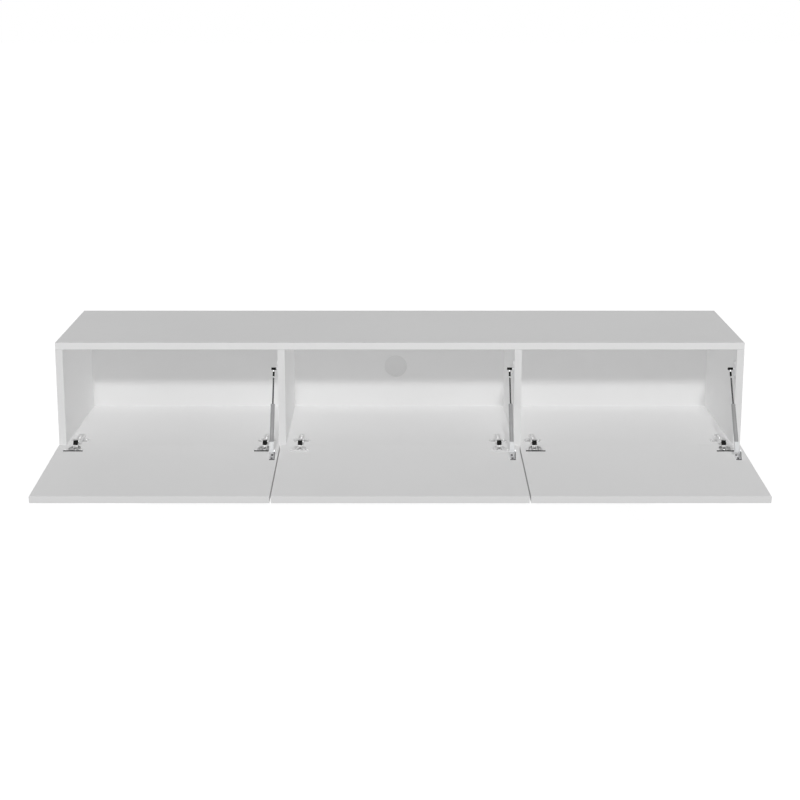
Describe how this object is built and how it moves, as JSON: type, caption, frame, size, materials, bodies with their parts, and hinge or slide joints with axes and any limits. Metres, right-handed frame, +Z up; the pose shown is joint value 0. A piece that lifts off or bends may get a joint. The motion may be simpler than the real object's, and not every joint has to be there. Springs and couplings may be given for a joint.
{
  "type": "floating media console",
  "caption": "Wall-hung white media console with three bays, drop-down doors on concealed cup hinges held by slim struts, and a lidded cable port in the middle bay.",
  "frame": {"origin": "on the wall plane, midway between the wall rail's outer screw holes", "axes": "+X to the right seen from the front, the front faces -Y and the wall is at +Y, +Z up"},
  "size_m": [1.8, 0.6331, 0.315],
  "materials": {
    "white_board": "matt white foil on MDF",
    "zinc": "zinc plated",
    "hinge_steel": "nickel plated",
    "black_plastic": "matt black moulded",
    "grey_plastic": "frosted light grey moulded",
    "white_plastic": "satin white moulded",
    "tube_paint": "satin grey paint",
    "rod_steel": "hardened dark bright rod"
  },
  "bodies": {
    "cabinet": {"top_board": "white_board", "bottom_board": "white_board", "left_side_board": "white_board", "right_side_board": "white_board", "left_divider": "white_board", "right_divider": "white_board", "back_panel": "white_board", "cable_port_ring": "white_plastic", "hinge_plates": "hinge_steel", "hinge_arms": "hinge_steel", "strut_wall_brackets": "hinge_steel", "wall_rail": "zinc", "hanger_hooks": "zinc", "hanger_housings": "white_plastic"},
    "port_lid": {"cable_port_lid": "white_plastic"},
    "door_left": {"door_left": "white_board", "hinge_cups_left": "hinge_steel", "strut_door_bracket_left": "hinge_steel"},
    "outer_links_left": {"outer_links_left": "hinge_steel", "link_caps_left": "black_plastic"},
    "inner_links_left": {"inner_links_left": "hinge_steel"},
    "strut_tube_left": {"strut_tube_left": "tube_paint", "strut_fitting_left": "grey_plastic"},
    "strut_rod_left": {"strut_rod_left": "rod_steel", "strut_socket_left": "black_plastic"},
    "door_middle": {"door_middle": "white_board", "hinge_cups_middle": "hinge_steel", "strut_door_bracket_middle": "hinge_steel"},
    "outer_links_middle": {"outer_links_middle": "hinge_steel", "link_caps_middle": "black_plastic"},
    "inner_links_middle": {"inner_links_middle": "hinge_steel"},
    "strut_tube_middle": {"strut_tube_middle": "tube_paint", "strut_fitting_middle": "grey_plastic"},
    "strut_rod_middle": {"strut_rod_middle": "rod_steel", "strut_socket_middle": "black_plastic"},
    "door_right": {"door_right": "white_board", "hinge_cups_right": "hinge_steel", "strut_door_bracket_right": "hinge_steel"},
    "outer_links_right": {"outer_links_right": "hinge_steel", "link_caps_right": "black_plastic"},
    "inner_links_right": {"inner_links_right": "hinge_steel"},
    "strut_tube_right": {"strut_tube_right": "tube_paint", "strut_fitting_right": "grey_plastic"},
    "strut_rod_right": {"strut_rod_right": "rod_steel", "strut_socket_right": "black_plastic"}
  },
  "joints": [
    {"name": "door_left_swing", "type": "hinge", "parent": "cabinet", "child": "door_left", "pos_m": [-0.60785, -0.345, -0.228], "axis": [-1, 0, 0], "range_deg": [0, 94]},
    {"name": "outer_links_left_turn", "type": "hinge", "parent": "cabinet", "child": "outer_links_left", "pos_m": [-0.60785, -0.34096, -0.20333], "axis": [-1, 0, 0], "range_deg": [-29.44, 0]},
    {"name": "inner_links_left_turn", "type": "hinge", "parent": "cabinet", "child": "inner_links_left", "pos_m": [-0.60785, -0.33544, -0.20708], "axis": [-1, 0, 0], "range_deg": [-27.82, 0]},
    {"name": "strut_left_pivot", "type": "hinge", "parent": "door_left", "child": "strut_tube_left", "pos_m": [-0.331, -0.41493, -0.20282], "axis": [-1, 0, 0], "range_deg": [-121.53, 0]},
    {"name": "strut_left_slide", "type": "slide", "parent": "strut_tube_left", "child": "strut_rod_left", "axis": [0, -0.4741, -0.8805], "range_m": [0, 0.06851]},
    {"name": "door_middle_swing", "type": "hinge", "parent": "cabinet", "child": "door_middle", "pos_m": [0, -0.345, -0.228], "axis": [-1, 0, 0], "range_deg": [0, 94]},
    {"name": "outer_links_middle_turn", "type": "hinge", "parent": "cabinet", "child": "outer_links_middle", "pos_m": [0, -0.34096, -0.20333], "axis": [-1, 0, 0], "range_deg": [-29.44, 0]},
    {"name": "inner_links_middle_turn", "type": "hinge", "parent": "cabinet", "child": "inner_links_middle", "pos_m": [0, -0.33544, -0.20708], "axis": [-1, 0, 0], "range_deg": [-27.82, 0]},
    {"name": "strut_middle_pivot", "type": "hinge", "parent": "door_middle", "child": "strut_tube_middle", "pos_m": [0.289, -0.41493, -0.20282], "axis": [-1, 0, 0], "range_deg": [-121.53, 0]},
    {"name": "strut_middle_slide", "type": "slide", "parent": "strut_tube_middle", "child": "strut_rod_middle", "axis": [0, -0.4741, -0.8805], "range_m": [0, 0.06851]},
    {"name": "door_right_swing", "type": "hinge", "parent": "cabinet", "child": "door_right", "pos_m": [0.60785, -0.345, -0.228], "axis": [-1, 0, 0], "range_deg": [0, 94]},
    {"name": "outer_links_right_turn", "type": "hinge", "parent": "cabinet", "child": "outer_links_right", "pos_m": [0.60785, -0.34096, -0.20333], "axis": [-1, 0, 0], "range_deg": [-29.44, 0]},
    {"name": "inner_links_right_turn", "type": "hinge", "parent": "cabinet", "child": "inner_links_right", "pos_m": [0.60785, -0.33544, -0.20708], "axis": [-1, 0, 0], "range_deg": [-27.82, 0]},
    {"name": "strut_right_pivot", "type": "hinge", "parent": "door_right", "child": "strut_tube_right", "pos_m": [0.8695, -0.41493, -0.20282], "axis": [-1, 0, 0], "range_deg": [-121.53, 0]},
    {"name": "strut_right_slide", "type": "slide", "parent": "strut_tube_right", "child": "strut_rod_right", "axis": [0, -0.4741, -0.8805], "range_m": [0, 0.06851]},
    {"name": "port_lid_pull", "type": "slide", "parent": "cabinet", "child": "port_lid", "axis": [0, -1, 0], "range_m": [0, 0.03]}
  ],
  "couplings": [
    {"joint": "outer_links_left_turn", "follows": "door_left_swing", "ratio": -0.31308},
    {"joint": "inner_links_left_turn", "follows": "door_left_swing", "ratio": -0.29581},
    {"joint": "strut_left_pivot", "follows": "door_left_swing", "ratio": -1.2927},
    {"joint": "strut_left_slide", "follows": "door_left_swing", "m_per_rad": 0.041751},
    {"joint": "outer_links_middle_turn", "follows": "door_middle_swing", "ratio": -0.31308},
    {"joint": "inner_links_middle_turn", "follows": "door_middle_swing", "ratio": -0.29581},
    {"joint": "strut_middle_pivot", "follows": "door_middle_swing", "ratio": -1.2927},
    {"joint": "strut_middle_slide", "follows": "door_middle_swing", "m_per_rad": 0.041751},
    {"joint": "outer_links_right_turn", "follows": "door_right_swing", "ratio": -0.31308},
    {"joint": "inner_links_right_turn", "follows": "door_right_swing", "ratio": -0.29581},
    {"joint": "strut_right_pivot", "follows": "door_right_swing", "ratio": -1.2927},
    {"joint": "strut_right_slide", "follows": "door_right_swing", "m_per_rad": 0.041751}
  ]
}
